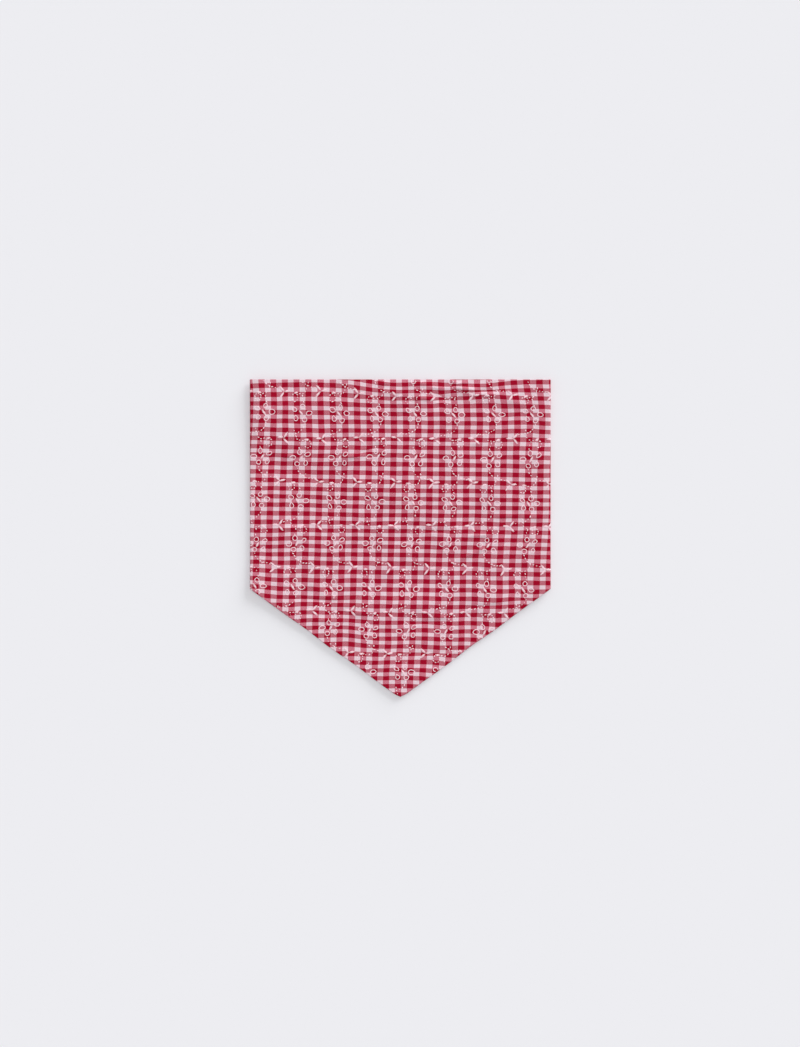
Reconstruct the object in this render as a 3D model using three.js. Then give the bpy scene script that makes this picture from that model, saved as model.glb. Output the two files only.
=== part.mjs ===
// Folded triangle scarf. One triangle of light checked cotton lies face up with its long edge
// at the top. Its two side corners are folded behind, in thirds, so that a panel with five
// corners shows: a straight top edge, two folded sides and a lower point.
// Millimetres. +X runs to the right of the panel, +Y up to its top edge, +Z up from the table.

import * as THREE from 'three';

// The panel that shows.
const panelWidth = 247; // from folded side to folded side
const panelDepth = 261; // from the top edge down to the lower point
const sideLength = 171; // each folded side

// The cloth and how its layers lie.
const clothThickness = 1;
const layerGap = 0.5; // air between two layers that lie on each other
const foldPuff = 0.8; // how much higher the panel stands right at a folded side
const foldPuffReach = 10; // how far in from the side that dies away
const tipDepth = 4; // depth of the cloth where each side corner ends, slightly blunt
const cornerDrift = 0.012; // how far a folded corner slips down for each millimetre from its fold
const stepMargin = 5; // a layer stays up this far past the edge of the layer below it
const cornerReach = 24; // and the upper corner comes down to the table over this distance,
const panelReach = 58; // the panel more softly over this one
const loft = 0.8; // how far the middle of the panel stands off what it lies on
const loftReach = 26; // distance from the lower edges over which the panel settles
const edgeLoft = 0.35; // share of the loft and the puckers that is left at the lower edges
const edgeWaver = 0.5; // how far the lower edges stray from straight
const edgeWaverLength = 46; // from one such stray to the next

// Soft ridges and troughs of the panel. across is measured from the middle line to the right,
// down from the top edge, and turn is how many degrees the ridge climbs to the right.
const puckers = [
  { across: -14, down: 8, turn: -4, long: 62, wide: 17, high: 1.5 }, // swell along the top edge
  { across: 34, down: 17, turn: -8, long: 26, wide: 12, high: -0.6 }, // hollow right of it
  { across: 56, down: 8, turn: 3, long: 34, wide: 13, high: 1.2 }, // small pucker beside that
  { across: 82, down: 15, turn: -3, long: 46, wide: 12, high: 1.1 }, // crease towards the right corner
  { across: 97, down: 27, turn: 20, long: 30, wide: 16, high: -0.5 },
  { across: -102, down: 30, turn: 8, long: 44, wide: 30, high: 0.7 }, // swell at the upper left
  { across: -34, down: 64, turn: 14, long: 48, wide: 17, high: 1.2 }, // ridge left of the middle
  { across: -72, down: 74, turn: 4, long: 56, wide: 18, high: -0.5 },
  { across: 70, down: 92, turn: 6, long: 96, wide: 34, high: 0.6 },
  { across: -88, down: 128, turn: -7, long: 80, wide: 26, high: 0.8 },
  { across: 58, down: 146, turn: 4, long: 90, wide: 24, high: -0.5 },
  { across: -2, down: 184, turn: 2, long: 70, wide: 18, high: 1.1 }, // crease above the point
  { across: 84, down: 178, turn: 18, long: 42, wide: 17, high: 0.9 }, // at the lower right side
  { across: 30, down: 198, turn: 6, long: 40, wide: 14, high: -0.5 },
];

// Steps of the mesh.
const panelSteps = 38;
const foldSteps = 6;
const cornerSteps = 15;
const rowSteps = 26;
const rowCrowding = 1.25; // above 1, rows lie closer near the top edge, where the puckers are small

const layerPitch = clothThickness + layerGap;
const foldRadius = (layerPitch + foldPuff) / 2; // of the middle of the cloth
const foldCentre = panelWidth / 2 - clothThickness / 2 - foldRadius;
const lowerSlope = (panelDepth - sideLength) / (panelWidth / 2);
const clothHalfWidth = panelDepth / lowerSlope; // half of the long edge, opened out
const acrossLowerEdge = 1 / Math.hypot(1, lowerSlope);
const cornerLength = clothHalfWidth * (1 - tipDepth / panelDepth) - foldCentre - Math.PI * foldRadius;
const topY = panelDepth / 2;

const cotton = new THREE.MeshStandardMaterial({ color: 0xc9536b, roughness: 0.92, metalness: 0 });

function softStep(t) {
  const k = Math.min(1, Math.max(0, t));
  return k * k * (3 - 2 * k);
}

// Depth of the cloth, from its long edge, at a distance from its middle line when opened out.
function clothDepth(distance) {
  return panelDepth * (1 - distance / clothHalfWidth);
}

// How far a point lies inside the corner folded in from one side (-1 left, 1 right).
function insideCorner(side, x, down) {
  const fromFold = panelWidth / 2 - side * x;
  const edge = sideLength - (lowerSlope - cornerDrift) * fromFold;
  return (edge - down) * acrossLowerEdge;
}

// 1 where a layer rests on that corner, 0 well past its edge.
function liftOver(side, x, down, reach) {
  return softStep((insideCorner(side, x, down) + stepMargin) / reach + 1);
}

function softRidge(ridge, x, down) {
  const turn = THREE.MathUtils.degToRad(ridge.turn);
  const dx = x - ridge.across;
  const dy = ridge.down - down;
  const along = (dx * Math.cos(turn) + dy * Math.sin(turn)) / (ridge.long / 2);
  const beside = (dy * Math.cos(turn) - dx * Math.sin(turn)) / (ridge.wide / 2);
  return ridge.high * Math.exp(-along * along - beside * beside);
}

// How far the panel stands off what lies below it.
function panelLoft(x, down) {
  const toLowerEdge = (clothDepth(Math.abs(x)) - down) * acrossLowerEdge;
  const toSide = panelWidth / 2 - Math.abs(x);
  const settle = edgeLoft + (1 - edgeLoft) * softStep(toLowerEdge / loftReach);
  const waves = puckers.reduce((sum, ridge) => sum + softRidge(ridge, x, down), loft);
  const puff = foldPuff * Math.exp(-((toSide / foldPuffReach) ** 2));
  return Math.max(0, waves) * settle * softStep(toSide / foldPuffReach) + puff;
}

// Heights of the middle of the cloth: the right corner lies lowest, the left one on it, then the panel.
function cornerHeight(side, x, down) {
  const base = clothThickness / 2;
  return side > 0 ? base : base + layerPitch * liftOver(1, x, down, cornerReach);
}

function panelHeight(x, down) {
  const layersBelow = liftOver(-1, x, down, panelReach) + liftOver(1, x, down, panelReach);
  return clothThickness / 2 + layerPitch * layersBelow + panelLoft(x, down);
}

function onPanel(share, rowShare) {
  const x = share * foldCentre;
  const down = clothDepth(Math.abs(x)) * rowShare;
  const ease = Math.sin(Math.PI * share) ** 2 * rowShare ** 2;
  const waver = edgeWaver * ease * Math.sin((2 * Math.PI * x) / edgeWaverLength);
  return new THREE.Vector3(x, topY - down + waver, panelHeight(x, down));
}

function onFold(side, angle, rowShare) {
  const down = clothDepth(foldCentre + foldRadius * angle) * rowShare;
  const x = side * foldCentre;
  const above = panelHeight(x, down);
  const below = cornerHeight(side, x, down);
  const radius = (above - below) / 2;
  const out = foldRadius * Math.sin(angle);
  return new THREE.Vector3(x + side * out, topY - down, (above + below) / 2 + radius * Math.cos(angle));
}

function onCorner(side, share, rowShare) {
  const fromFold = share * cornerLength;
  const depth = clothDepth(foldCentre + Math.PI * foldRadius + fromFold);
  const down = depth * rowShare + cornerDrift * fromFold;
  const x = side * (foldCentre - fromFold);
  return new THREE.Vector3(x, topY - down, cornerHeight(side, x, down));
}

// One function of the row share for each column of the mesh, from the left corner's tip,
// round the left fold, over the panel and round the right fold to the right corner's tip.
function meshColumns() {
  const columns = [];
  for (let i = cornerSteps; i > 0; i--) {
    columns.push((row) => onCorner(-1, i / cornerSteps, row));
  }
  for (let i = foldSteps; i > 0; i--) {
    columns.push((row) => onFold(-1, (Math.PI * i) / foldSteps, row));
  }
  for (let i = 0; i <= panelSteps; i++) {
    columns.push((row) => onPanel((2 * i) / panelSteps - 1, row));
  }
  for (let i = 1; i <= foldSteps; i++) {
    columns.push((row) => onFold(1, (Math.PI * i) / foldSteps, row));
  }
  for (let i = 1; i <= cornerSteps; i++) {
    columns.push((row) => onCorner(1, i / cornerSteps, row));
  }
  return columns;
}

// Points of the middle of the cloth, columns by rows, and the direction its face looks there.
function clothGrid() {
  const points = meshColumns().map((column) =>
    Array.from({ length: rowSteps + 1 }, (_, j) => column((j / rowSteps) ** rowCrowding)),
  );
  const last = points.length - 1;
  const faces = points.map((column, i) =>
    column.map((_, j) => {
      const across = new THREE.Vector3().subVectors(
        points[Math.min(last, i + 1)][j],
        points[Math.max(0, i - 1)][j],
      );
      const upwards = new THREE.Vector3().subVectors(
        column[Math.max(0, j - 1)],
        column[Math.min(rowSteps, j + 1)],
      );
      return across.cross(upwards).normalize();
    }),
  );
  return { points, faces };
}

// A closed sheet: the face, the back, and a rim round the cloth's edge that joins them.
function clothGeometry() {
  const { points, faces } = clothGrid();
  const columnCount = points.length;
  const rowCount = rowSteps + 1;
  const positions = [];
  for (const skin of [1, -1]) {
    for (let i = 0; i < columnCount; i++) {
      for (let j = 0; j < rowCount; j++) {
        const p = points[i][j].clone().addScaledVector(faces[i][j], (skin * clothThickness) / 2);
        positions.push(p.x, p.y, p.z);
      }
    }
  }
  const back = columnCount * rowCount;
  const at = (i, j) => i * rowCount + j;
  const triangles = [];
  const addQuad = (a, b, c, d) => triangles.push(a, b, c, a, c, d);
  for (let i = 0; i < columnCount - 1; i++) {
    for (let j = 0; j < rowSteps; j++) {
      const corners = [at(i, j), at(i, j + 1), at(i + 1, j + 1), at(i + 1, j)];
      const behind = corners.map((corner) => back + corner).reverse();
      addQuad(...corners);
      addQuad(...behind);
    }
  }
  const rim = [];
  for (let j = 0; j < rowSteps; j++) {
    rim.push(at(0, j));
  }
  for (let i = 0; i < columnCount - 1; i++) {
    rim.push(at(i, rowSteps));
  }
  for (let j = rowSteps; j > 0; j--) {
    rim.push(at(columnCount - 1, j));
  }
  for (let i = columnCount - 1; i > 0; i--) {
    rim.push(at(i, 0));
  }
  rim.forEach((a, k) => {
    const b = rim[(k + 1) % rim.length];
    addQuad(a, back + a, back + b, b);
  });
  const geometry = new THREE.BufferGeometry();
  geometry.setAttribute('position', new THREE.Float32BufferAttribute(positions, 3));
  geometry.setIndex(triangles);
  geometry.computeVertexNormals();
  return geometry;
}

const scarf = new THREE.Mesh(clothGeometry(), cotton);
scarf.name = 'scarf';

const model = new THREE.Group();
model.name = 'folded_scarf';
model.add(scarf);

export default model;
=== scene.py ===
import math
import random

import bpy
import numpy as np
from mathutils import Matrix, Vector


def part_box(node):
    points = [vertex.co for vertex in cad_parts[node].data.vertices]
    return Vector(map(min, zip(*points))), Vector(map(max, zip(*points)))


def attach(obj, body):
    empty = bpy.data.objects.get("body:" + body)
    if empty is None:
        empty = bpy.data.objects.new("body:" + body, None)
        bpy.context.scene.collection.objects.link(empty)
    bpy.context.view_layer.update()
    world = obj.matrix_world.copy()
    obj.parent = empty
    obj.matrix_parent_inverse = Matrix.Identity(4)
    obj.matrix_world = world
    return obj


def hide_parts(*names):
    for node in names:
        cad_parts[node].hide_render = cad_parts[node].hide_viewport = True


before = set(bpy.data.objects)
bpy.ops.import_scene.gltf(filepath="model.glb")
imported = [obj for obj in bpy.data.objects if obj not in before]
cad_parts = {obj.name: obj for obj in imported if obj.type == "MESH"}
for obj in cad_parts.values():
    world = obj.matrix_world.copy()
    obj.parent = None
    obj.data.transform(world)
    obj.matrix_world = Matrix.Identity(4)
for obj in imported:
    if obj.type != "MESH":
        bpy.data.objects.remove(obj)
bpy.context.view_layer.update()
print("frame loaded:", sorted(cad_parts))

mm = 0.001
lowCorner, highCorner = (Vector(corner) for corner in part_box("scarf"))
random.seed(11)

# The folded triangle. Its long edge is the top edge, "down" is measured from there,
# and "across" from the middle line of the opened cloth, to the right.
fold = {
    "panelWidth": highCorner.x - lowCorner.x,
    "panelDepth": highCorner.y - lowCorner.y,
    "sideLength": 171 * mm,
    "foldRadius": 1.15 * mm,
    "foldEdge": 0.5 * mm,  # from the middle of the solid's cloth to its outside
    "layerPitch": 1.5 * mm,
    "foldPuff": 1.0 * mm,  # the panel stands higher right at a folded side
    "foldPuffReach": 12 * mm,
    "tipDepth": 4 * mm,
    "cornerDrift": 0.012,  # how far a folded corner slips down, for its distance from the fold
    "stepMargin": 5 * mm,
    "cornerReach": 24 * mm,
    "panelReach": 58 * mm,
    "loft": 0.8 * mm,
    "loftReach": 26 * mm,
    "edgeLoft": 0.35,  # share of the loft that is left at the lower edges
    "edgeWaver": 0.5 * mm,
    "edgeWaverLength": 46 * mm,
    "lyingHeight": 0.9 * mm,  # room under the lowest layer for its stitches and hem
}
topY = fold["panelDepth"] / 2
foldCentre = fold["panelWidth"] / 2 - fold["foldEdge"] - fold["foldRadius"]
lowerSlope = (fold["panelDepth"] - fold["sideLength"]) / (fold["panelWidth"] / 2)
clothHalfWidth = fold["panelDepth"] / lowerSlope
acrossLowerEdge = 1 / math.hypot(1, lowerSlope)
cornerStart = foldCentre + math.pi * fold["foldRadius"]
clothReach = clothHalfWidth * (1 - fold["tipDepth"] / fold["panelDepth"])

# Soft ridges and troughs, in mm: across, down, turn in degrees, long, wide, high.
# A ridge climbs to the right by its turn.
mainPuckers = [
    (-14, 8, -4, 62, 17, 1.5),  # swell along the top edge
    (34, 17, -8, 26, 12, -0.6),
    (56, 8, 3, 34, 13, 1.2),
    (82, 15, -3, 46, 12, 1.1),  # crease towards the right corner
    (97, 27, 20, 30, 16, -0.5),
    (-102, 30, 8, 44, 30, 0.7),
    (-34, 64, 14, 48, 17, 1.2),  # ridge left of the middle
    (-72, 74, 4, 56, 18, -0.5),
    (70, 92, 6, 96, 34, 0.6),
    (-88, 128, -7, 80, 26, 0.8),
    (58, 146, 4, 90, 24, -0.5),
    (-2, 184, 2, 70, 18, 1.1),  # crease above the point
    (84, 178, 18, 42, 17, 0.9),
    (30, 198, 6, 40, 14, -0.5),
]
fineCreases = [
    (70, 12, -4, 30, 4.5, 0.8),  # beside the crease towards the right corner
    (86, 10, 2, 26, 4, 0.5),
    (34, 15, -16, 14, 5, -0.7),
    (33, 19, -10, 20, 4, 0.5),
    (95, 19, -24, 18, 5, 0.5),
    (2, 12, -9, 40, 5, 0.5),
    (-96, 22, 12, 24, 5, 0.4),
    (-44, 20, 4, 30, 6, 0.4),
    (104, 56, -30, 34, 6, 0.4),
    (-60, 176, -34, 34, 6, 0.5),
    (-20, 232, -22, 30, 6, 0.4),
    (18, 226, 28, 34, 6, 0.4),
    (-104, 104, 62, 40, 6, 0.4),
    (108, 128, -70, 44, 6, 0.4),
    (44.6, 2.2, -28, 9, 2.5, 0.9),  # a little curved fold at the top edge
    (51.4, 2.8, 24, 9, 2.2, 1.1),
    (47.5, 7, -8, 8, 2.2, 1.1),
]

# Sharp little folds, listed in the same way, their width and height multiplied by sharpness
sharpCreases = [
    (-14, 3, 2, 11, 3, 0.5),  # along the top edge
    (21, 3.4, -2, 20, 3, 0.5),
    (30, 6.8, -4, 20, 2.8, 0.6),
    (54, 7.6, -6, 17, 3, 0.8),
    (23, 15.6, 0, 17, 2.8, 0.5),
    (5, 20.5, 4, 10, 2.8, 0.35),
    (5, 25.5, -3, 11, 2.8, 0.35),
    (6, 30.5, 5, 10, 2.8, 0.3),
    (-38, 63, 10, 15, 3.2, 0.8),  # left of the middle
    (-91, 62.6, 0, 9, 2.8, 0.5),
    (-17, 50.6, 14, 7, 2.8, 0.45),
    (62, 52.2, 4, 11, 2.8, 0.45),
    (-89, 121.6, 2, 17, 2.8, 0.5),
    (-35, 119.5, 0, 6, 2.6, 0.4),
    (-4, 121, -4, 11, 2.8, 0.45),
    (67, 127.4, 5, 17, 3.4, 0.7),
    (57, 143.8, 24, 19, 3, 0.7),
    (67, 139, 6, 12, 2.8, 0.5),
    (86, 111.8, 3, 18, 3, 0.5),
    (110, 112.6, -3, 24, 3, 0.5),
    (-64, 196.8, -3, 36, 3, 0.5),
    (-33, 191.6, -4, 13, 2.8, 0.55),
    (34, 194.6, -2, 12, 2.8, 0.5),
    (-16, 246.6, 2, 10, 3, 0.5),
    (18, 237.6, -2, 17, 2.8, 0.6),
    (20, 241.4, -4, 12, 2.8, 0.5),
]
sharpness = {
    "wide": 0.95,
    "high": 2.15,
}

# Small tucks where the cloth has been pulled in, in mm: across, down, turn, long, pulled in
tucks = [
    (71.5, 9.4, 1, 25, 2.4),  # at the top edge, right of the middle
    (33.8, 16.6, 5, 12, 2.0),
    (46, 5, -4, 8, 1.4),
    (-28.5, 59, 26, 28, 1.6),  # left of the middle
    (28.9, 123.9, -2, 20, 1.6),
    (-69.4, 180.6, -2.5, 54, 1.6),
    (104, 179.8, 3, 20, 1.6),
    (72.3, 185.1, 6, 30, 1.6),
    (19, 198.6, 4, 28, 1.4),
    (26.4, 224.4, 0, 26, 1.6),
]
tuckShape = {
    "wide": 2.6,  # mm, of the furrow
    "deep": 0.55,  # mm for each mm pulled in
    "grip": 1.0 * mm,  # the pulled-in cloth lies this close to the furrow
    "reach": 9 * mm,  # and the weave is drawn towards it from this far
}


def softStep(t):
    t = np.clip(t, 0, 1)
    return t * t * (3 - 2 * t)


def clothDepth(distance):
    return fold["panelDepth"] * (1 - distance / clothHalfWidth)


def insideCorner(side, x, down):
    fromFold = fold["panelWidth"] / 2 - side * x
    edge = fold["sideLength"] - (lowerSlope - fold["cornerDrift"]) * fromFold
    return (edge - down) * acrossLowerEdge


def liftOver(side, x, down, reach):
    return softStep((insideCorner(side, x, down) + fold["stepMargin"]) / reach + 1)


# Distances along and beside a ridge that climbs to the right by turn degrees
def ridgePlace(across, ridgeDown, turn, x, down):
    cosine, sine = math.cos(math.radians(turn)), math.sin(math.radians(turn))
    dx = x - across * mm
    dy = ridgeDown * mm - down
    return dx * cosine + dy * sine, dy * cosine - dx * sine


def ridgeHeights(ridges, x, down):
    total = np.zeros_like(x)
    for across, ridgeDown, turn, long, wide, high in ridges:
        along, beside = ridgePlace(across, ridgeDown, turn, x, down)
        total += high * mm * np.exp(-((2 * along / (long * mm)) ** 2) - (2 * beside / (wide * mm)) ** 2)
    return total


# Small uneven waves, as in cotton that was pressed before it was stitched
ripples = {
    "count": 26,
    "longest": 58 * mm,
    "shortest": 13 * mm,
    "height": 0.11 * mm,
    "least": 0.5,  # share of that height
    "fade": 1.25,  # the height falls from this share for the longest wave, by 1 to the shortest
}
rippleTable = []
for i in range(ripples["count"]):
    share = i / (ripples["count"] - 1)
    length = ripples["longest"] * (ripples["shortest"] / ripples["longest"]) ** share
    direction = random.uniform(0, math.pi)
    high = ripples["height"] * random.uniform(ripples["least"], 1) * (ripples["fade"] - share)
    rippleTable.append((length, direction, high, random.uniform(0, 2 * math.pi)))


def rippleHeights(x, down):
    total = np.zeros_like(x)
    for length, direction, high, phase in rippleTable:
        travel = x * math.cos(direction) + down * math.sin(direction)
        total += high * np.sin(2 * math.pi * travel / length + phase)
    return total


furrows = [
    (across, down, turn, long, tuckShape["wide"], -tuckShape["deep"] * pulled)
    for across, down, turn, long, pulled in tucks
]
sharpRidges = [
    (across, down, turn, long, sharpness["wide"] * wide, sharpness["high"] * high)
    for across, down, turn, long, wide, high in sharpCreases
]


def panelHeight(x, down, thickness):
    layersBelow = liftOver(-1, x, down, fold["panelReach"]) + liftOver(1, x, down, fold["panelReach"])
    toLowerEdge = (clothDepth(np.abs(x)) - down) * acrossLowerEdge
    toSide = fold["panelWidth"] / 2 - np.abs(x)
    settle = fold["edgeLoft"] + (1 - fold["edgeLoft"]) * softStep(toLowerEdge / fold["loftReach"])
    waves = fold["loft"] + ridgeHeights(mainPuckers, x, down)
    waves += ridgeHeights(fineCreases + sharpRidges + furrows, x, down) + rippleHeights(x, down)
    puff = fold["foldPuff"] * np.exp(-((toSide / fold["foldPuffReach"]) ** 2))
    rise = np.maximum(waves, 0) * settle * softStep(toSide / fold["foldPuffReach"])
    return thickness / 2 + fold["layerPitch"] * layersBelow + rise + puff


def cornerHeight(side, x, down, thickness):
    lift = liftOver(1, x, down, fold["cornerReach"])
    return thickness / 2 + np.where(side > 0, 0, fold["layerPitch"] * lift)


# The lower edges do not lie quite flat: all layers curl up a little, more in some places than in others
edgeCurl = {
    "lift": 1.4 * mm,
    "reach": 34 * mm,
    "bend": 1.5,  # above 1, the lift gathers near the edge
    "uneven": 0.12,
    "shortWave": 17 * mm,
    "longWave": 29 * mm,
    "phase": 1.1,
}


def edgeLift(x, down):
    toEdge = (clothDepth(np.abs(x)) - down) * acrossLowerEdge
    curl = softStep(1 - toEdge / edgeCurl["reach"]) ** edgeCurl["bend"]
    waves = np.sin(x / edgeCurl["shortWave"] + edgeCurl["phase"]) * np.cos(x / edgeCurl["longWave"])
    return edgeCurl["lift"] * curl * (1 - edgeCurl["uneven"] + edgeCurl["uneven"] * waves)


def foldedPoints(across, down, thickness):
    side = np.where(across < 0, -1.0, 1.0)
    distance = np.abs(across)
    angle = np.clip((distance - foldCentre) / fold["foldRadius"], 0, math.pi)
    fromFold = np.clip(distance - cornerStart, 0, None)
    onCorner = distance > cornerStart
    flatX = np.clip(across, -foldCentre, foldCentre)
    cornerX = side * (foldCentre - fromFold)
    slipped = down + fold["cornerDrift"] * fromFold
    above = panelHeight(flatX, down, thickness)
    below = cornerHeight(side, cornerX, slipped, thickness)
    turned = (above + below) / 2 + (above - below) / 2 * np.cos(angle)
    x = np.where(onCorner, cornerX, flatX + side * fold["foldRadius"] * np.sin(angle))
    z = np.where(onCorner, below, turned) + edgeLift(x, np.where(onCorner, slipped, down))
    z += fold["lyingHeight"]
    ease = np.sin(math.pi * flatX / foldCentre) ** 2 * (down / clothDepth(np.abs(flatX))) ** 2
    waver = fold["edgeWaver"] * ease * np.sin(2 * math.pi * flatX / fold["edgeWaverLength"])
    y = topY - np.where(onCorner, slipped, down - waver)
    return np.stack([x, y, z], axis=1)


def foldedFaces(across, down, thickness, reach=0.3 * mm):
    def pointsAt(acrossShift, downShift):
        return foldedPoints(across + acrossShift, down + downShift, thickness)

    faces = np.cross(pointsAt(reach, 0) - pointsAt(-reach, 0), pointsAt(0, -reach) - pointsAt(0, reach))
    return faces / np.linalg.norm(faces, axis=1, keepdims=True)


# How far the weave has slipped from its true place, in mm: across, down, radius across, radius down,
# slip of the columns to the right, slip of the rows down
weaveSlips = [
    (-6, 0, 22, 14, 0, 3.5),  # rows dip at the top edge
    (29, 3, 28, 10, 0, 1.7),
    (61, 0, 28, 12, 0, 3.3),
    (70, 14, 22, 8, 0, -1.3),
    (-82, -2, 45, 13, 0, -2.6),
    (-88, 18, 42, 18, 0, -0.7),
    (-75, 50, 34, 14, 0.9, 1.0),
    (-12, 61, 33, 10, 0, -0.6),
    (0, 93, 165, 21, 0, 0.9),
    (108, 84, 26, 18, 0, 0.7),
    (-95, 98, 42, 13, 0, -0.8),
    (-28, 115, 18, 9, 0, 0.7),
    (-115, 130, 20, 12, 0, 1.1),
    (0, 143, 165, 16, 0, -1.2),
    (-121, 172, 15, 25, 0, -1.6),
    (94, 190, 17, 9, 0, -1.1),
    (-58, 208, 24, 18, 0, -3.4),
    (22, 220, 38, 20, 0, -1.3),
    (0, 254, 49, 28, 0, -3.4),
    (0, -4, 165, 33, -2.5, 0),
    (-42, 2, 34, 10, 0.7, 0),
    (84, 2, 44, 12, -1.9, 0),
    (-119, 18, 29, 26, 2.4, 0),
    (111, 35, 37, 26, 1.2, 0),
    (112, 104, 30, 40, 0.9, 0),
    (66, 150, 40, 17, -0.7, 0),
    (14, 196, 90, 14, -0.4, 0),
    (6, 244, 30, 20, -1.3, 0),
    (102, 38, 20, 20, 0, -1.1),
    (-53, 10, 20, 14, 0, -0.9),
    (-40, 214, 18, 12, 0, -0.9),
    (60, 112, 60, 22, 0.5, 0),
    (60, 57, 40, 10, -0.6, 0),
]
weaveLean = {
    "columnsFrom": 74 * mm,  # depth at which the columns stand in their true place
    "columns": -0.029,  # drift to the right for each step down
    "columnsAcross": 1.0 * mm,
    "rows": 0.011,  # drift down for each step to the right
    "rowsDown": 2.1 * mm,
}


def weaveSlip(across, down):
    columns = weaveLean["columns"] * (down - weaveLean["columnsFrom"]) + weaveLean["columnsAcross"]
    rows = weaveLean["rows"] * across + weaveLean["rowsDown"]
    for slipAcross, slipDown, wide, deep, byColumns, byRows in weaveSlips:
        near = np.exp(-(((across / mm - slipAcross) / wide) ** 2) - ((down / mm - slipDown) / deep) ** 2)
        columns = columns + byColumns * mm * near
        rows = rows + byRows * mm * near
    return columns, rows


# The rows are drawn together at a tuck
def tuckSlip(across, down):
    rows = np.zeros_like(across)
    for tuckAcross, tuckDown, turn, long, pulled in tucks:
        along, above = ridgePlace(tuckAcross, tuckDown, turn, across, down)
        near = np.exp(-((2 * along / (long * mm)) ** 2) - (above / tuckShape["reach"]) ** 2)
        rows += pulled / 2 * mm * np.tanh(above / tuckShape["grip"]) * near
    return rows


# Where a point of the woven cloth comes to lie, found step by step because the slip is known where it lies
slipPasses = 6


def laidFromWoven(wovenAcross, wovenDown):
    across, down = wovenAcross, wovenDown
    for step in range(slipPasses):
        columns, rows = weaveSlip(across, down)
        across, down = wovenAcross + columns, wovenDown + rows
    return across, down


# Node helpers
def addNode(tree, kind, inputs=None, **settings):
    node = tree.nodes.new(kind)
    for name, value in settings.items():
        setattr(node, name, value)
    for name, value in (inputs or {}).items():
        if isinstance(value, bpy.types.NodeSocket):
            tree.links.new(value, node.inputs[name])
        else:
            node.inputs[name].default_value = value
    return node


def mathOf(tree, operation, *values):
    return addNode(tree, "ShaderNodeMath", dict(enumerate(values)), operation=operation).outputs[0]


def mixColours(tree, factor, first, second):
    return addNode(tree, "ShaderNodeMix", {0: factor, 6: first, 7: second}, data_type="RGBA").outputs[2]


def noiseOf(tree, vector, scale, detail):
    inputs = {"Vector": vector, "Scale": scale, "Detail": detail}
    return addNode(tree, "ShaderNodeTexNoise", inputs).outputs["Fac"]


def scaled(tree, vector, scale):
    inputs = {0: vector, "Scale": scale}
    return addNode(tree, "ShaderNodeVectorMath", inputs, operation="SCALE").outputs[0]


def newTree(name, kind, sockets):
    tree = bpy.data.node_groups.new(name, kind)
    for socketName, direction, socketType, value in sockets:
        socket = tree.interface.new_socket(socketName, in_out=direction, socket_type=socketType)
        if value is not None:
            socket.default_value = value
    return tree


# Woven check: which yarn shows at each crossing of a plain weave, and how its colour wanders along it.
# Its places are in mm, and so the scales of its noises are for each mm.
yarnLook = {
    "wobbleScale": 0.11,
    "wobble": 0.7,  # mm
    "streakAcross": 1.3,  # a streak is a yarn or two wide, and long in the yarn's own direction
    "streakAlong": 0.06,
    "cloudScale": 0.035,
    "cloudShare": 0.6,
    "over": 0.85,  # height of a yarn's crown where it passes over another, and under it
    "under": 0.15,
    "unevenHeight": 0.4,
}


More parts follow.
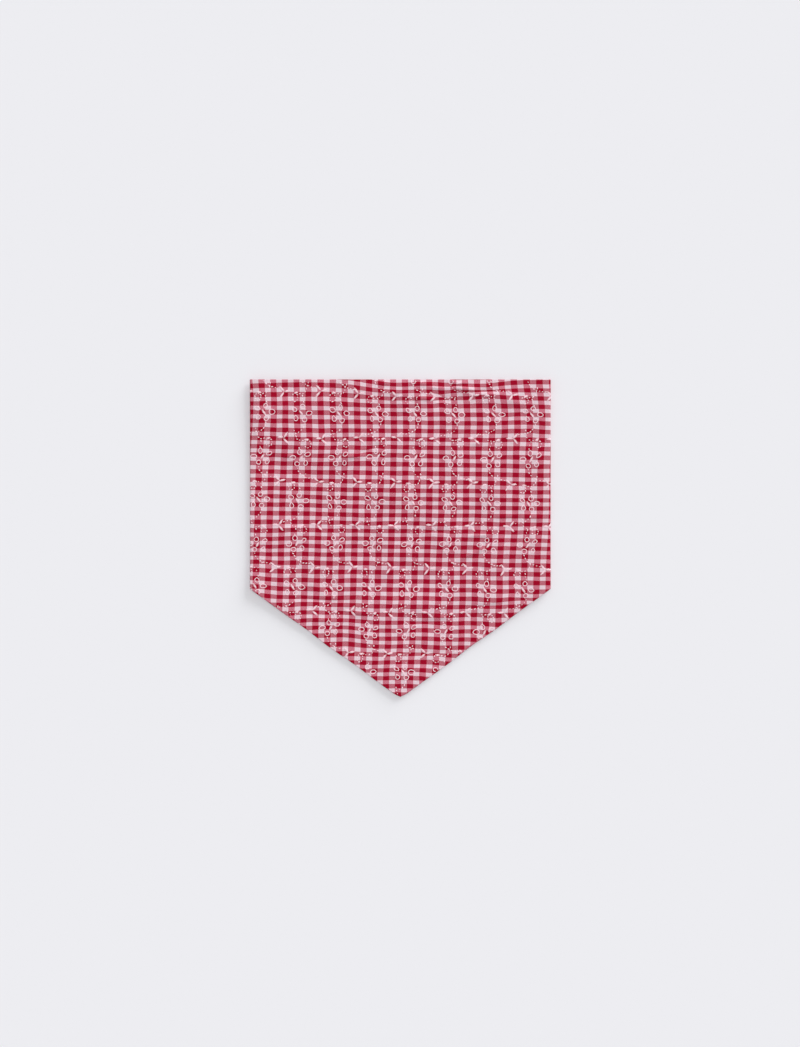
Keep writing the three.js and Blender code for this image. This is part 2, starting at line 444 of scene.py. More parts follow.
def buildYarnCheck():
    tree = newTree(
        "yarnCheck",
        "ShaderNodeTree",
        [
            ("Place", "INPUT", "NodeSocketVector", None),
            ("Check Across", "INPUT", "NodeSocketFloat", 10.0),
            ("Check Down", "INPUT", "NodeSocketFloat", 7.0),
            ("Start Across", "INPUT", "NodeSocketFloat", 0.0),
            ("Start Down", "INPUT", "NodeSocketFloat", 0.0),
            ("Red Share Across", "INPUT", "NodeSocketFloat", 0.5),
            ("Red Share Down", "INPUT", "NodeSocketFloat", 0.5),
            ("Yarns Across", "INPUT", "NodeSocketFloat", 24.0),
            ("Yarns Down", "INPUT", "NodeSocketFloat", 18.0),
            ("White", "INPUT", "NodeSocketColor", None),
            ("Red Warp", "INPUT", "NodeSocketColor", None),
            ("Red Weft", "INPUT", "NodeSocketColor", None),
            ("Red", "INPUT", "NodeSocketColor", None),
            ("Crossing Contrast", "INPUT", "NodeSocketFloat", 0.3),
            ("Streaks", "INPUT", "NodeSocketFloat", 0.1),
            ("Colour", "OUTPUT", "NodeSocketColor", None),
            ("Height", "OUTPUT", "NodeSocketFloat", None),
        ],
    )
    given = addNode(tree, "NodeGroupInput").outputs
    place = addNode(tree, "ShaderNodeSeparateXYZ", {0: given["Place"]}).outputs
    wobble = noiseOf(tree, given["Place"], yarnLook["wobbleScale"], 1.0)
    shift = mathOf(tree, "MULTIPLY", mathOf(tree, "SUBTRACT", wobble, 0.5), yarnLook["wobble"])
    across = mathOf(tree, "ADD", place[0], shift)
    down = mathOf(tree, "ADD", place[1], shift)

    def band(position, way):
        checks = mathOf(tree, "DIVIDE", position, given["Check " + way])
        inChecks = mathOf(tree, "SUBTRACT", checks, given["Start " + way])
        yarnPlace = mathOf(tree, "MULTIPLY", inChecks, given["Yarns " + way])
        yarn = mathOf(tree, "FLOOR", yarnPlace)
        middle = mathOf(tree, "DIVIDE", mathOf(tree, "ADD", yarn, 0.5), given["Yarns " + way])
        red = mathOf(tree, "LESS_THAN", mathOf(tree, "FRACT", middle), given["Red Share " + way])
        return yarn, mathOf(tree, "FRACT", yarnPlace), red

    warp, warpAcross, warpRed = band(across, "Across")
    weft, weftAcross, weftRed = band(down, "Down")
    parity = mathOf(tree, "FRACT", mathOf(tree, "MULTIPLY", mathOf(tree, "ADD", warp, weft), 0.5))
    warpOnTop = mathOf(tree, "GREATER_THAN", parity, 0.25)

    lightRow = mixColours(tree, warpRed, given["White"], given["Red Warp"])
    redRow = mixColours(tree, warpRed, given["Red Weft"], given["Red"])
    cell = mixColours(tree, weftRed, lightRow, redRow)
    topRed = mathOf(
        tree,
        "ADD",
        mathOf(tree, "MULTIPLY", warpOnTop, warpRed),
        mathOf(tree, "MULTIPLY", mathOf(tree, "SUBTRACT", 1.0, warpOnTop), weftRed),
    )
    topYarn = mixColours(tree, topRed, given["White"], given["Red"])
    woven = mixColours(tree, given["Crossing Contrast"], cell, topYarn)

    def streak(scaleAcross, scaleDown):
        places = {
            0: mathOf(tree, "MULTIPLY", across, scaleAcross),
            1: mathOf(tree, "MULTIPLY", down, scaleDown),
        }
        spread = addNode(tree, "ShaderNodeCombineXYZ", places).outputs[0]
        return mathOf(tree, "SUBTRACT", noiseOf(tree, spread, 1.0, 2.0), 0.5)

    warpStreak = streak(yarnLook["streakAcross"], yarnLook["streakAlong"])
    weftStreak = streak(yarnLook["streakAlong"], yarnLook["streakAcross"])
    cloudy = noiseOf(tree, given["Place"], yarnLook["cloudScale"], 3.0)
    unevenness = mathOf(
        tree,
        "ADD",
        mathOf(tree, "ADD", warpStreak, weftStreak),
        mathOf(tree, "MULTIPLY", mathOf(tree, "SUBTRACT", cloudy, 0.5), yarnLook["cloudShare"]),
    )
    brightness = mathOf(tree, "ADD", mathOf(tree, "MULTIPLY", unevenness, given["Streaks"]), 1.0)
    coloured = scaled(tree, woven, brightness)

    def crown(position):
        return mathOf(tree, "SINE", mathOf(tree, "MULTIPLY", position, math.pi))

    rise = mathOf(tree, "MULTIPLY", warpOnTop, yarnLook["over"] - yarnLook["under"])
    warpRise = mathOf(tree, "ADD", rise, yarnLook["under"])
    weftRise = mathOf(tree, "SUBTRACT", yarnLook["over"], rise)
    height = mathOf(
        tree,
        "ADD",
        mathOf(tree, "MULTIPLY", crown(warpAcross), warpRise),
        mathOf(tree, "MULTIPLY", crown(weftAcross), weftRise),
    )
    height = mathOf(tree, "ADD", height, mathOf(tree, "MULTIPLY", unevenness, yarnLook["unevenHeight"]))
    addNode(tree, "NodeGroupOutput", {"Colour": coloured, "Height": height})
    return tree


yarnCheck = buildYarnCheck()


def newMaterial(name):
    material = bpy.data.materials.new(name)
    material.use_nodes = True
    material.node_tree.nodes.clear()
    return material, material.node_tree


cotton = {
    "checkAcross": 10.0,  # mm, one red and one white stripe
    "checkDown": 6.857,
    "startAcross": 0.062,  # where the red stripe begins, in checks from the middle line
    "startDown": 0.546,
    "redShareAcross": 0.53,
    "redShareDown": 0.54,
    "yarnsAcross": 25.0,
    "yarnsDown": 24.0,
    "white": (0.772, 0.590, 0.65, 1),
    "redWarp": (0.58, 0.138, 0.204, 1),
    "redWeft": (0.473, 0.093, 0.136, 1),
    "red": (0.333, 0.0013, 0.019, 1),
    "crossingContrast": 0.22,
    "streaks": 0.16,
    "bumpHeight": 0.12 * mm,
    "bumpStrength": 0.5,
    "roughness": 0.88,
    "sheen": 0.02,
    "sheenRoughness": 0.6,
    "specular": 0.06,
}


def buildCotton():
    material, tree = newMaterial("wovenCotton")
    uv = addNode(tree, "ShaderNodeUVMap", uv_map="wovenPlace").outputs[0]
    check = addNode(tree, "ShaderNodeGroup", node_tree=yarnCheck)
    tree.links.new(scaled(tree, uv, 1 / mm), check.inputs["Place"])

    # The check's sockets are named as the keys of cotton, but with spaces
    for socket in check.inputs:
        key = socket.name[0].lower() + socket.name[1:].replace(" ", "")
        if key in cotton:
            socket.default_value = cotton[key]
    bump = addNode(
        tree,
        "ShaderNodeBump",
        {
            "Height": check.outputs["Height"],
            "Strength": cotton["bumpStrength"],
            "Distance": cotton["bumpHeight"],
        },
    )
    shader = addNode(
        tree,
        "ShaderNodeBsdfPrincipled",
        {
            "Base Color": check.outputs["Colour"],
            "Roughness": cotton["roughness"],
            "Sheen Weight": cotton["sheen"],
            "Sheen Roughness": cotton["sheenRoughness"],
            "Specular IOR Level": cotton["specular"],
            "Normal": bump.outputs[0],
        },
    )
    addNode(tree, "ShaderNodeOutputMaterial", {"Surface": shader.outputs[0]})
    return material


# The thread's second, darker colour is painted shade, laid where the twist's noise is low, in the grooves
# between its plies
threadLook = {
    "colour": (1.0, 0.75, 0.81, 1),
    "shade": (0.84, 0.6, 0.67, 1),
    "plyLength": 0.5,  # mm, one twist of the thread
    "roughness": 0.5,
    "sheen": 0.2,
    "specular": 0.3,
    "bumpHeight": 0.05 * mm,
    "bumpStrength": 0.6,
}
# The hem thread's darker colour is painted shade in its twist's grooves too
hemThreadLook = {
    **threadLook,
    "colour": (0.42, 0.05, 0.08, 1),
    "shade": (0.30, 0.03, 0.05, 1),
}


def buildThread(name, look):
    material, tree = newMaterial(name)
    place = addNode(tree, "ShaderNodeTexCoord").outputs["Object"]
    ply = noiseOf(tree, scaled(tree, place, 1 / mm), 1 / look["plyLength"], 1.0)
    bump = addNode(
        tree,
        "ShaderNodeBump",
        {"Height": ply, "Strength": look["bumpStrength"], "Distance": look["bumpHeight"]},
    )
    shader = addNode(
        tree,
        "ShaderNodeBsdfPrincipled",
        {
            # Painted shade: the colour darkens towards the darker thread colour where the ply noise is
            # low, in the twist's grooves
            "Base Color": mixColours(tree, ply, look["shade"], look["colour"]),
            "Roughness": look["roughness"],
            "Sheen Weight": look["sheen"],
            "Specular IOR Level": look["specular"],
            "Normal": bump.outputs[0],
        },
    )
    addNode(tree, "ShaderNodeOutputMaterial", {"Surface": shader.outputs[0]})
    return material


cottonMaterial = buildCotton()
threadMaterial = buildThread("paleThread", threadLook)
hemThreadMaterial = buildThread("hemThread", hemThreadLook)
print("materials ready")

# The cloth itself: a closed thin sheet with a narrow hem turned to its wrong side
sheet = {
    "thickness": 0.5 * mm,
    "hemWidth": 4.2 * mm,
    "hemThickness": 0.5 * mm,  # added on the wrong side
    "hemFade": 0.5 * mm,
    "topRows": (0, 0.5, 1.0, 1.5, 2.0, 2.5, 3.0, 3.6, 4.2, 4.7, 5.4),  # mm from the top edge
    "hemRows": (0, 0.6, 1.8, 3.2, 4.2, 4.7, 5.4),  # mm from a lower edge
    "panelSteps": 150,
    "foldSteps": 10,
    "cornerSteps": 26,
    "levelDepth": 158 * mm,  # down to here a row keeps its depth all over the panel
    "levelRows": 128,
    "lowerRows": 72,
    "rowFocus": ((5, 14), (57, 8), (122, 8), (141, 6)),  # mm: depths of sharp creases, and their reach
    "focusGain": 1.6,
    "focusSamples": 800,
    "rowRoom": 1.25,  # the rows near the edges take up at most one part in this of the depth
    "levelMost": 0.95,  # share of the room between them that level rows may fill
    "rimBulge": 0.15 * mm,
    "pointLoss": 1.2 * mm,  # the lower point is a little blunt
    "pointReach": 3 * mm,
    "mapRim": 0.4 * mm,  # the rim's middle lies this far outside the cloth on both maps
    "mapMargin": 0.008,
    "mapSize": 0.974,
}


def sheetColumns():
    corner = np.linspace(cornerStart, clothReach, sheet["cornerSteps"] + 1)
    folded = np.linspace(foldCentre, cornerStart, sheet["foldSteps"] + 1)
    panel = np.linspace(-foldCentre, foldCentre, sheet["panelSteps"] + 1)
    right = np.concatenate([folded[1:], corner[1:]])
    return np.concatenate([-right[::-1], panel, right])


# Rows lie closer where the sharp creases are
def levelShares():
    t = np.linspace(0, 1, sheet["focusSamples"])
    density = np.ones_like(t)
    for centre, reach in sheet["rowFocus"]:
        away = (t * sheet["levelDepth"] / mm - centre) / reach
        density += sheet["focusGain"] * np.exp(-(away**2))
    travelled = np.cumsum(density) - density[0]
    return np.interp(np.linspace(0, 1, sheet["levelRows"] + 1), travelled / travelled[-1], t)


def sheetRows(depth):
    top = np.array(sheet["topRows"]) * mm
    slanted = np.array(sheet["hemRows"]) * mm / acrossLowerEdge
    fit = min(1.0, depth / (sheet["rowRoom"] * (top[-1] + slanted[-1])))
    first, last = top * fit, depth - slanted[::-1] * fit
    room = last[0] - first[-1]
    level = min(sheet["levelMost"] * room, sheet["levelDepth"] - first[-1])
    upper = first[-1] + level * levelShares()
    lower = np.linspace(upper[-1], last[0], sheet["lowerRows"] + 1)
    return np.concatenate([first[:-1], upper, lower[1:], last[1:]])


def hemShare(across, down):
    toLower = (clothDepth(np.abs(across)) - down) * acrossLowerEdge
    toEdge = np.minimum(down, toLower)
    return 1 - softStep((toEdge - sheet["hemWidth"]) / sheet["hemFade"])


def linkPiece(name, mesh):
    mesh.name = name
    piece = bpy.data.objects.new(name, mesh)
    bpy.context.scene.collection.objects.link(piece)
    return piece


# Quads of one skin, and the vertices round its edge
def gridQuads(columnCount, rowCount):
    def at(i, j):
        return i * rowCount + j

    quads = [
        (at(i, j), at(i, j + 1), at(i + 1, j + 1), at(i + 1, j))
        for i in range(columnCount - 1)
        for j in range(rowCount - 1)
    ]
    rim = [at(0, j) for j in range(rowCount - 1)]
    rim += [at(i, rowCount - 1) for i in range(columnCount - 1)]
    rim += [at(columnCount - 1, j) for j in range(rowCount - 1, 0, -1)]
    rim += [at(i, 0) for i in range(columnCount - 1, 0, -1)]
    return np.array(quads), np.array(rim)


def layMap(mesh, name, first, second):
    layer = mesh.uv_layers.new(name=name)
    layer.data.foreach_set("uv", np.stack([first, second], axis=1).ravel())


# Where each corner lies on the woven cloth
def layWovenPlace(mesh, across, down):
    columnSlip, rowSlip = weaveSlip(across, down)
    layMap(mesh, "wovenPlace", across - columnSlip, down - rowSlip - tuckSlip(across, down))


# A second map without overlaps: each half of each side is a right triangle, and two fill a rectangle
def layBakeMap(mesh, across, down, onRight, onBack):
    alongX = sheet["mapMargin"] + sheet["mapSize"] * np.abs(across) / clothHalfWidth
    alongY = sheet["mapMargin"] + sheet["mapSize"] * down / fold["panelDepth"]
    mapX = np.where(onRight, 1 - alongX, alongX)
    mapY = np.where(onRight, 1 - alongY, alongY) / 2 + np.where(onBack, 0, 0.5)
    layMap(mesh, "OFBake", mapX, mapY)


def buildSheet():
    columns = sheetColumns()
    blunt = sheet["pointLoss"] * np.exp(-((columns / sheet["pointReach"]) ** 2))
    rows = [sheetRows(depth) for depth in clothDepth(np.abs(columns)) - blunt]
    across = np.repeat(columns, len(rows[0]))
    down = np.concatenate(rows)
    count = across.size
    middle = foldedPoints(across, down, sheet["thickness"])
    faces = foldedFaces(across, down, sheet["thickness"])
    hem = hemShare(across, down)[:, None] * sheet["hemThickness"]
    front = middle + faces * sheet["thickness"] / 2
    back = middle - faces * (sheet["thickness"] / 2 + hem)

    # The rim bulges a little, as a turned edge does
    frontQuads, rim = gridQuads(len(columns), len(rows[0]))
    ahead = np.roll(rim, -1)
    outward = np.cross(middle[ahead] - middle[np.roll(rim, 1)], faces[rim])
    outward /= np.linalg.norm(outward, axis=1, keepdims=True)
    rimMiddle = (front[rim] + back[rim]) / 2 + outward * sheet["rimBulge"]
    ring = 2 * count + np.arange(rim.size)
    ringAhead = np.roll(ring, -1)
    upper = np.stack([rim, ring, ringAhead, ahead], axis=1)
    lower = np.stack([ring, rim + count, ahead + count, ringAhead], axis=1)

    points = np.concatenate([front, back, rimMiddle])
    polygons = np.concatenate([frontQuads, upper, frontQuads[:, ::-1] + count, lower])
    mesh = bpy.data.meshes.new("scarf_cloth")
    mesh.from_pydata(points.tolist(), [], polygons.tolist())
    mesh.update()

    corners = polygons.ravel()
    rimAcross = across[rim] * (1 + sheet["mapRim"] / clothHalfWidth)
    rimDown = down[rim] + np.where(down[rim] < mm, -sheet["mapRim"], sheet["mapRim"])
    laidAcross = np.concatenate([across, across, rimAcross])[corners]
    laidDown = np.concatenate([down, down, rimDown])[corners]
    layWovenPlace(mesh, laidAcross, laidDown)

    # A quad's side is that of its middle, and in the rim that of its first corner
    cornerAcross = np.concatenate([across, across, across[rim]])[polygons]
    inRim = (polygons >= 2 * count).any(axis=1)
    onRight = np.where(inRim, cornerAcross[:, 0], cornerAcross.mean(axis=1)) > 0
    onBack = np.arange(len(polygons)) >= len(frontQuads) + len(upper)
    layBakeMap(mesh, laidAcross, laidDown, np.repeat(onRight, 4), np.repeat(onBack, 4))
    mesh.uv_layers["wovenPlace"].active_render = True
    mesh.uv_layers.active = mesh.uv_layers["wovenPlace"]
    mesh.shade_smooth()
    mesh.materials.append(cottonMaterial)
    return linkPiece("scarf_cloth", mesh)


scarfCloth = buildSheet()
print("cloth:", len(scarfCloth.data.polygons), "quads")


# Geometry Nodes: stitches laid end to end along every path, only where there is cloth
stitchSockets = [
    ("Geometry", "INPUT", "NodeSocketGeometry", None),
    ("Spacing", "INPUT", "NodeSocketFloat", 1.2 * mm),
    ("Slant", "INPUT", "NodeSocketFloat", 0.2),
    ("Taper", "INPUT", "NodeSocketFloat", 0.0),
    ("Stitch Length", "INPUT", "NodeSocketFloat", 1.6 * mm),
    ("Stitch Width", "INPUT", "NodeSocketFloat", 0.7 * mm),
    ("Stitch Height", "INPUT", "NodeSocketFloat", 0.35 * mm),
    ("Size Variation", "INPUT", "NodeSocketFloat", 0.15),
    ("Cloth Depth", "INPUT", "NodeSocketFloat", 0.261),
    ("Lower Slope", "INPUT", "NodeSocketFloat", 0.73),
    ("Edge Margin", "INPUT", "NodeSocketFloat", 1.2 * mm),
    ("Sides", "INPUT", "NodeSocketInt", 5),
    ("Seed", "INPUT", "NodeSocketInt", 3),
    ("Thread", "INPUT", "NodeSocketMaterial", None),
    ("Geometry", "OUTPUT", "NodeSocketGeometry", None),
]


def stitchShape(tree, given):
    ball = addNode(
        tree,
        "GeometryNodeMeshUVSphere",
        {"Segments": given["Sides"], "Rings": 3, "Radius": 0.5},
    )
    laid = addNode(
        tree,
        "GeometryNodeTransform",
        {"Geometry": ball.outputs["Mesh"], "Rotation": (0, math.pi / 2, 0)},
    )
    size = addNode(
        tree,
        "ShaderNodeCombineXYZ",
        {0: given["Stitch Length"], 1: given["Stitch Width"], 2: given["Stitch Height"]},
    )
    return addNode(
        tree,
        "GeometryNodeTransform",
        {"Geometry": laid.outputs[0], "Scale": size.outputs[0]},
    ).outputs[0]


def offTheCloth(tree, given):
    position = addNode(tree, "GeometryNodeInputPosition").outputs[0]
    parts = addNode(tree, "ShaderNodeSeparateXYZ", {0: position}).outputs
    away = mathOf(tree, "MULTIPLY", mathOf(tree, "ABSOLUTE", parts[0]), given["Lower Slope"])
    spare = mathOf(tree, "SUBTRACT", mathOf(tree, "ADD", given["Cloth Depth"], parts[1]), away)
    nearest = mathOf(tree, "MINIMUM", spare, mathOf(tree, "MULTIPLY", parts[1], -1.0))
    return mathOf(tree, "LESS_THAN", nearest, given["Edge Margin"])


def placeStitches(tree, given, points, rotation, share):
    kept = addNode(
        tree,
        "GeometryNodeDeleteGeometry",
        {"Geometry": points, "Selection": offTheCloth(tree, given)},
        domain="POINT",
    ).outputs[0]
    least = mathOf(tree, "SUBTRACT", 1.0, given["Size Variation"])
    most = mathOf(tree, "ADD", 1.0, given["Size Variation"])
    size = addNode(
        tree,
        "FunctionNodeRandomValue",
        {"Min": least, "Max": most, "Seed": given["Seed"]},
        data_type="FLOAT",
    )
    placed = addNode(
        tree,
        "GeometryNodeInstanceOnPoints",
        {
            "Points": kept,
            "Instance": stitchShape(tree, given),
            "Rotation": rotation,
            "Scale": mathOf(tree, "MULTIPLY", size.outputs["Value"], share),
        },
    )
    real = addNode(tree, "GeometryNodeRealizeInstances", {"Geometry": placed.outputs[0]})
    smooth = addNode(tree, "GeometryNodeSetShadeSmooth", {"Geometry": real.outputs[0]})
    dressed = addNode(
        tree,
        "GeometryNodeSetMaterial",
        {"Geometry": smooth.outputs[0], "Material": given["Thread"]},
    )
    addNode(tree, "NodeGroupOutput", {"Geometry": dressed.outputs[0]})


def buildPathTree():
    tree = newTree("stitchesAlongPaths", "GeometryNodeTree", stitchSockets)
    given = addNode(tree, "NodeGroupInput").outputs
    spread = addNode(
        tree,
        "GeometryNodeResampleCurve",
        {"Curve": given["Geometry"], "Length": given["Spacing"]},
        mode="LENGTH",
    )
    tangent = addNode(tree, "GeometryNodeInputTangent").outputs[0]
    aligned = addNode(tree, "FunctionNodeAlignRotationToVector", {"Vector": tangent}, axis="X")
    lean = addNode(tree, "ShaderNodeCombineXYZ", {2: given["Slant"]})
    turned = addNode(
        tree,
        "FunctionNodeRotateRotation",
        {0: aligned.outputs[0], 1: lean.outputs[0]},
        rotation_space="LOCAL",
    )
    along = addNode(tree, "GeometryNodeSplineParameter").outputs["Factor"]
    hump = mathOf(tree, "SINE", mathOf(tree, "MULTIPLY", along, math.pi))
    loss = mathOf(tree, "MULTIPLY", mathOf(tree, "SUBTRACT", 1.0, hump), given["Taper"])
    share = mathOf(tree, "SUBTRACT", 1.0, loss)
    placeStitches(tree, given, spread.outputs[0], turned.outputs[0], share)
    return tree


pathTree = buildPathTree()


# Stitches a flat drawing's paths and gives the plain mesh; drawings have x across and -y down
def stitchFlat(drawing, settings):
    holder = bpy.data.objects.new("drawing", drawing)
    bpy.context.scene.collection.objects.link(holder)
    modifier = holder.modifiers.new("stitches", "NODES")
    modifier.node_group = pathTree
    known = {s.name: s.identifier for s in pathTree.interface.items_tree if s.in_out == "INPUT"}
    common = {"Cloth Depth": fold["panelDepth"], "Lower Slope": lowerSlope}
    for name, value in {**common, **settings}.items():
        modifier[known[name]] = value
    holder.update_tag()
    bpy.context.view_layer.update()
    graph = bpy.context.evaluated_depsgraph_get()
    flat = bpy.data.meshes.new_from_object(holder.evaluated_get(graph))
    holder.modifiers.clear()
    bpy.data.objects.remove(holder)
    return flat


# Bends a flat drawing's mesh onto the folded cloth, on its right side or its wrong side
def bendOnCloth(flat, side=1):
    places = np.empty(len(flat.vertices) * 3)
    flat.vertices.foreach_get("co", places)
    places = places.reshape(-1, 3)
    across, down = places[:, 0], -places[:, 1]
    middle = foldedPoints(across, down, sheet["thickness"])
    faces = foldedFaces(across, down, sheet["thickness"])
    hem = hemShare(across, down) * sheet["hemThickness"] if side < 0 else 0.0
    height = sheet["thickness"] / 2 + hem + side * places[:, 2]
    bent = middle + side * faces * height[:, None]
    flat.vertices.foreach_set("co", bent.ravel())
    if side < 0:
        flat.flip_normals()
    flat.update()
    return flat


def drawPaths(name, paths):
    drawing = bpy.data.curves.new(name, "CURVE")
    drawing.dimensions = "3D"
    for points, closed in paths:
        spline = drawing.splines.new("POLY")
        spline.points.add(len(points) - 1)
        for point, (across, down) in zip(spline.points, points):
            point.co = (across, -down, 0, 1)
        spline.use_cyclic_u = closed
    return drawing


# The stitched repeat: rows of five-loop flowers, each with a bud above it and a dotted stem
# down to a sprig of three leaves. Every second row is the mirror image of the one above.
repeat = {
    "across": 31.5 * mm,
    "down": 35.7 * mm,
    "firstAcross": -21.75 * mm,
    "firstDown": 26.1 * mm,
    "lean": -0.018,
    "leanFrom": 98 * mm,
    "mirrorShift": 0.8 * mm,
    "shake": 0.4 * mm,
    "petalShake": 0.8,  # share of that for a petal
    "spare": 12 * mm,  # paths up to this far off the cloth are kept, for the stitches that reach it
}
# Loops of a flower, in mm from its centre: across, up, long, wide, turn in degrees, how pointed
petals = [
    (6.5, -0.2, 4.8, 3.8, 0, 0.2),
    (1.2, 4.4, 3.9, 3.5, 85, 0.2),
    (-5.6, 2.6, 4.4, 3.4, -32, 0.4),
    (-4.6, -4.2, 4.2, 3.7, 98, 0.6),
    (2.4, -5.2, 3.8, 3.6, 20, 0.1),
]
# Lines of spaced stitches, in mm from the flower's centre: across, up
stemLine = [
    (2.3, -8.6),
    (1.5, -10.9),
    (0, -13.1),
    (-2.0, -14.7),
    (-4.1, -15.8),
    (-7.0, -16.5),
    (-10.6, -17.0),
]
topLine = [(1.9, 7.8), (1.4, 10.2), (1.0, 12.6)]
hookLine = [(-1.0, 14.4), (1.6, 14.4), (3.6, 15.2), (4.8, 17.2), (5.2, 19.7), (5.9, 22.3)]
budRing = (-5.2, 11.6, 5.8, 5.2, 80, 0.1)  # as a petal
# Strokes of close slanted stitches, in mm: from across, up, to across, up
centreBar = (-1.6, 1.5, 1.0, -2.4)
budTuft = (-5.6, 15.4, -2.5, 14.8)
sprigMeet = (-15.3, -19.8)  # from the flower's centre
sprigLeaves = [
    (0.4, 0.5, 3.5, 3.8),
    (0.4, -0.6, 4.0, -4.3),
    (-0.5, 0.1, -4.7, 0.5),
]
# How loops differ: in shares of their length, width and point, turn in degrees, each corner in mm
loopShake = {
    "long": (0.9, 1.1),
    "wide": (0.88, 1.12),
    "turn": (-14, 14),
    "pointed": (0.3, 1.6),
    "corner": (-0.12, 0.12),
}
loopCorners = 14


def shake(amount=1.0):
    return random.uniform(-1, 1) * repeat["shake"] * amount


def loopPoints(centre, long, wide, turn, pointed, flip):
    long *= random.uniform(*loopShake["long"])
    wide *= random.uniform(*loopShake["wide"])
    turn += random.uniform(*loopShake["turn"])
    pointed *= random.uniform(*loopShake["pointed"])
    cosine, sine = math.cos(math.radians(turn)), math.sin(math.radians(turn))
    points = []
    for k in range(loopCorners):
        t = 2 * math.pi * k / loopCorners
        along = long / 2 * math.cos(t)
        beside = wide / 2 * math.sin(t) * (1 - pointed * (1 - math.sin(t / 2)))
        jitter = random.uniform(*loopShake["corner"])
        x = along * cosine - beside * sine + jitter
        y = along * sine + beside * cosine + jitter
        points.append((centre[0] + flip * x * mm, centre[1] - y * mm))
    return points


def offsetFrom(centre, across, up, flip):
    return centre[0] + flip * across * mm, centre[1] - up * mm


def linePoints(centre, places, flip):
    points = []
    for across, up in places:
        x, y = offsetFrom(centre, across, up, flip)
        points.append((x + shake(), y + shake()))
    return points


def strokePoints(centre, stroke, flip):
    return linePoints(centre, (stroke[:2], stroke[2:]), flip)


def layRepeats():
    drawn = {"loops": [], "bars": [], "rings": [], "lines": [], "leaves": []}
    columnsEachSide = math.ceil(clothHalfWidth / repeat["across"]) + 1
    rowCount = math.ceil(fold["panelDepth"] / repeat["down"]) + 1
    for row in range(-1, rowCount):
        flip = 1 if row % 2 == 0 else -1
        down = repeat["firstDown"] + row * repeat["down"]
        rowStart = repeat["firstAcross"] + repeat["lean"] * (down - repeat["leanFrom"])
        if flip < 0:
            rowStart += repeat["mirrorShift"]
        for column in range(-columnsEachSide, columnsEachSide + 1):
            centre = (rowStart + column * repeat["across"] + shake(), down + shake())
            for across, up, long, wide, turn, pointed in petals:
                aside, below = shake(repeat["petalShake"]), shake(repeat["petalShake"])
                x, y = offsetFrom(centre, across, up, flip)
                place = (x + flip * aside, y + below)
                drawn["loops"].append(loopPoints(place, long, wide, turn, pointed, flip))
            across, up, long, wide, turn, pointed = budRing
            place = offsetFrom(centre, across, up, flip)
            drawn["rings"].append(loopPoints(place, long, wide, turn, pointed, flip))
            drawn["bars"].append(strokePoints(centre, centreBar, flip))
            drawn["leaves"].append(strokePoints(centre, budTuft, flip))
            for line in (stemLine, topLine, hookLine):
                drawn["lines"].append(linePoints(centre, line, flip))
            meet = offsetFrom(centre, *sprigMeet, flip)
            for leaf in sprigLeaves:
                drawn["leaves"].append(strokePoints(meet, leaf, flip))
    return drawn


def onLaidCloth(points):
    woven = np.array(points)
    across, down = laidFromWoven(woven[:, 0], woven[:, 1])
    return list(zip(across.tolist(), down.tolist()))


def nearCloth(points):
    spare = repeat["spare"]
    return any(-spare < down < clothDepth(abs(across)) + spare for across, down in points)


drawn = layRepeats()
for name, paths in drawn.items():
    drawn[name] = [onLaidCloth(points) for points in paths if nearCloth(points)]

loopStitch = {
    "Spacing": 1.1 * mm,
    "Slant": 0.3,
    "Stitch Length": 1.75 * mm,
    "Stitch Width": 0.75 * mm,
    "Stitch Height": 0.5 * mm,
    "Size Variation": 0.12,
    "Edge Margin": 1.0 * mm,
    "Sides": 5,
    "Seed": 3,
    "Thread": threadMaterial,
}
satinStitch = {
    **loopStitch,
    "Spacing": 0.55 * mm,
    "Slant": 1.05,
    "Taper": 0.45,
    "Stitch Length": 2.4 * mm,
    "Seed": 5,
}
spacedStitch = {
    **loopStitch,
    "Spacing": 2.45 * mm,
    "Stitch Length": 1.6 * mm,
    "Stitch Width": 0.95 * mm,
    "Size Variation": 0.28,
    "Seed": 8,
}


def stitched(name, settings, closed=False):
    drawing = drawPaths(name, [(points, closed) for points in drawn[name]])
    return bendOnCloth(stitchFlat(drawing, settings))


def joinMeshes(name, meshes):
    parts = [linkPiece(name, mesh) for mesh in meshes]
    with bpy.context.temp_override(active_object=parts[0], selected_editable_objects=parts):
        bpy.ops.object.join()
    parts[0].name = name
    return parts[0]


flowers = [stitched("loops", loopStitch, closed=True), stitched("bars", satinStitch)]
flowerStitches = joinMeshes("flower_stitches", flowers)
print("flowers:", len(flowerStitches.data.polygons), "faces")

sprigs = [
    stitched("leaves", satinStitch),
    stitched("lines", spacedStitch),
    stitched("rings", spacedStitch, closed=True),
]
sprigStitches = joinMeshes("sprig_stitches", sprigs)
print("sprigs:", len(sprigStitches.data.polygons), "faces")

# Hem stitches show on the wrong side only
hemLine = 3.3 * mm  # from the edge
hemStitch = {
    "Spacing": 2.9 * mm,
    "Slant": 0.06,
    "Stitch Length": 2.1 * mm,
    "Stitch Width": 0.32 * mm,
    "Stitch Height": 0.22 * mm,
    "Size Variation": 0.06,
    "Edge Margin": 1.0 * mm,
    "Sides": 4,
    "Seed": 6,
    "Thread": hemThreadMaterial,
}
hemDepth = fold["panelDepth"] - hemLine / acrossLowerEdge
hemSide = (hemDepth - hemLine) / lowerSlope
hemPath = [(-hemSide, hemLine), (hemSide, hemLine), (0, hemDepth)]
hemFlat = stitchFlat(drawPaths("hem", [(hemPath, True)]), hemStitch)
hemStitches = linkPiece("hem_stitches", bendOnCloth(hemFlat, side=-1))
print("hem:", len(hemStitches.data.polygons), "faces")

for piece in (scarfCloth, flowerStitches, sprigStitches, hemStitches):
    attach(piece, "root")
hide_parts("scarf")

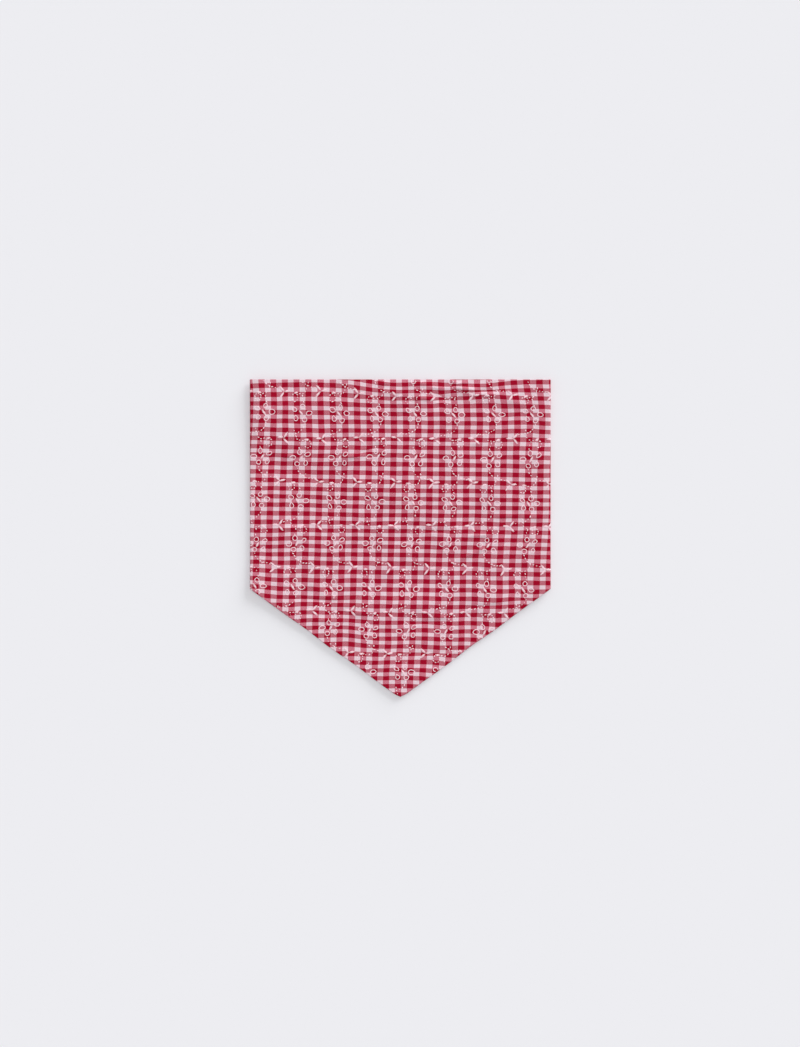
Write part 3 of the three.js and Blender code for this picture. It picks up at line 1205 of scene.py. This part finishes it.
# Stage: a plain pale floor, an even sky, soft light from overhead and a wide light from the upper right
stage = {
    "floorSize": 60.0,
    "floorColour": (0.824, 0.824, 0.856, 1),
    "skyStrength": 0.42,
    "lights": {  # strength, spread, tilt off the vertical, turn from +X to +Y
        "overheadLight": (1.2, 18, 4, 50),
        "sideLight": (2.3, 36, 72, 52),
    },
    "lens": 85,
    "sensorWidth": 36,
    "frameHeight": 1047,  # px
    "metresPerPixel": 0.8192 * mm,
    "scaleHeight": 4 * mm,  # where that scale holds
    "aboveCentre": 12.7 * mm,  # how far the picture's middle lies above the scarf's
    "leftOfCentre": 0.25 * mm,
}


def buildStage():
    half = stage["floorSize"] / 2
    floorMesh = bpy.data.meshes.new("floor")
    corners = [(-half, -half, 0), (half, -half, 0), (half, half, 0), (-half, half, 0)]
    floorMesh.from_pydata(corners, [], [(0, 1, 2, 3)])
    material, tree = newMaterial("floorPaper")
    shader = addNode(tree, "ShaderNodeBsdfDiffuse", {"Color": stage["floorColour"]})
    addNode(tree, "ShaderNodeOutputMaterial", {"Surface": shader.outputs[0]})
    floorMesh.materials.append(material)
    floor = bpy.data.objects.new("floor", floorMesh)
    bpy.context.scene.collection.objects.link(floor)

    world = bpy.data.worlds.new("evenSky")
    world.use_nodes = True
    background = world.node_tree.nodes["Background"]
    background.inputs["Color"].default_value = (1, 1, 1, 1)
    background.inputs["Strength"].default_value = stage["skyStrength"]
    bpy.context.scene.world = world

    for name, (strength, spread, tilt, turn) in stage["lights"].items():
        light = bpy.data.lights.new(name, "SUN")
        light.energy = strength
        light.angle = math.radians(spread)
        lamp = bpy.data.objects.new(name, light)
        tilt, turn = math.radians(tilt), math.radians(turn)
        flat = math.sin(tilt)
        towards = Vector((flat * math.cos(turn), flat * math.sin(turn), math.cos(tilt)))
        lamp.rotation_euler = towards.to_track_quat("Z", "Y").to_euler()
        bpy.context.scene.collection.objects.link(lamp)


def buildCamera():
    camera = bpy.data.cameras.new("camera")
    camera.lens = stage["lens"]
    camera.sensor_fit = "AUTO"
    camera.sensor_width = stage["sensorWidth"]
    holder = bpy.data.objects.new("camera", camera)
    frameHeight = stage["frameHeight"] * stage["metresPerPixel"]
    distance = frameHeight / camera.sensor_width * camera.lens
    holder.location = (-stage["leftOfCentre"], stage["aboveCentre"], distance + stage["scaleHeight"])
    bpy.context.scene.collection.objects.link(holder)
    bpy.context.scene.camera = holder


buildStage()
buildCamera()
bpy.context.scene.view_settings.view_transform = "Standard"
print("stage ready")
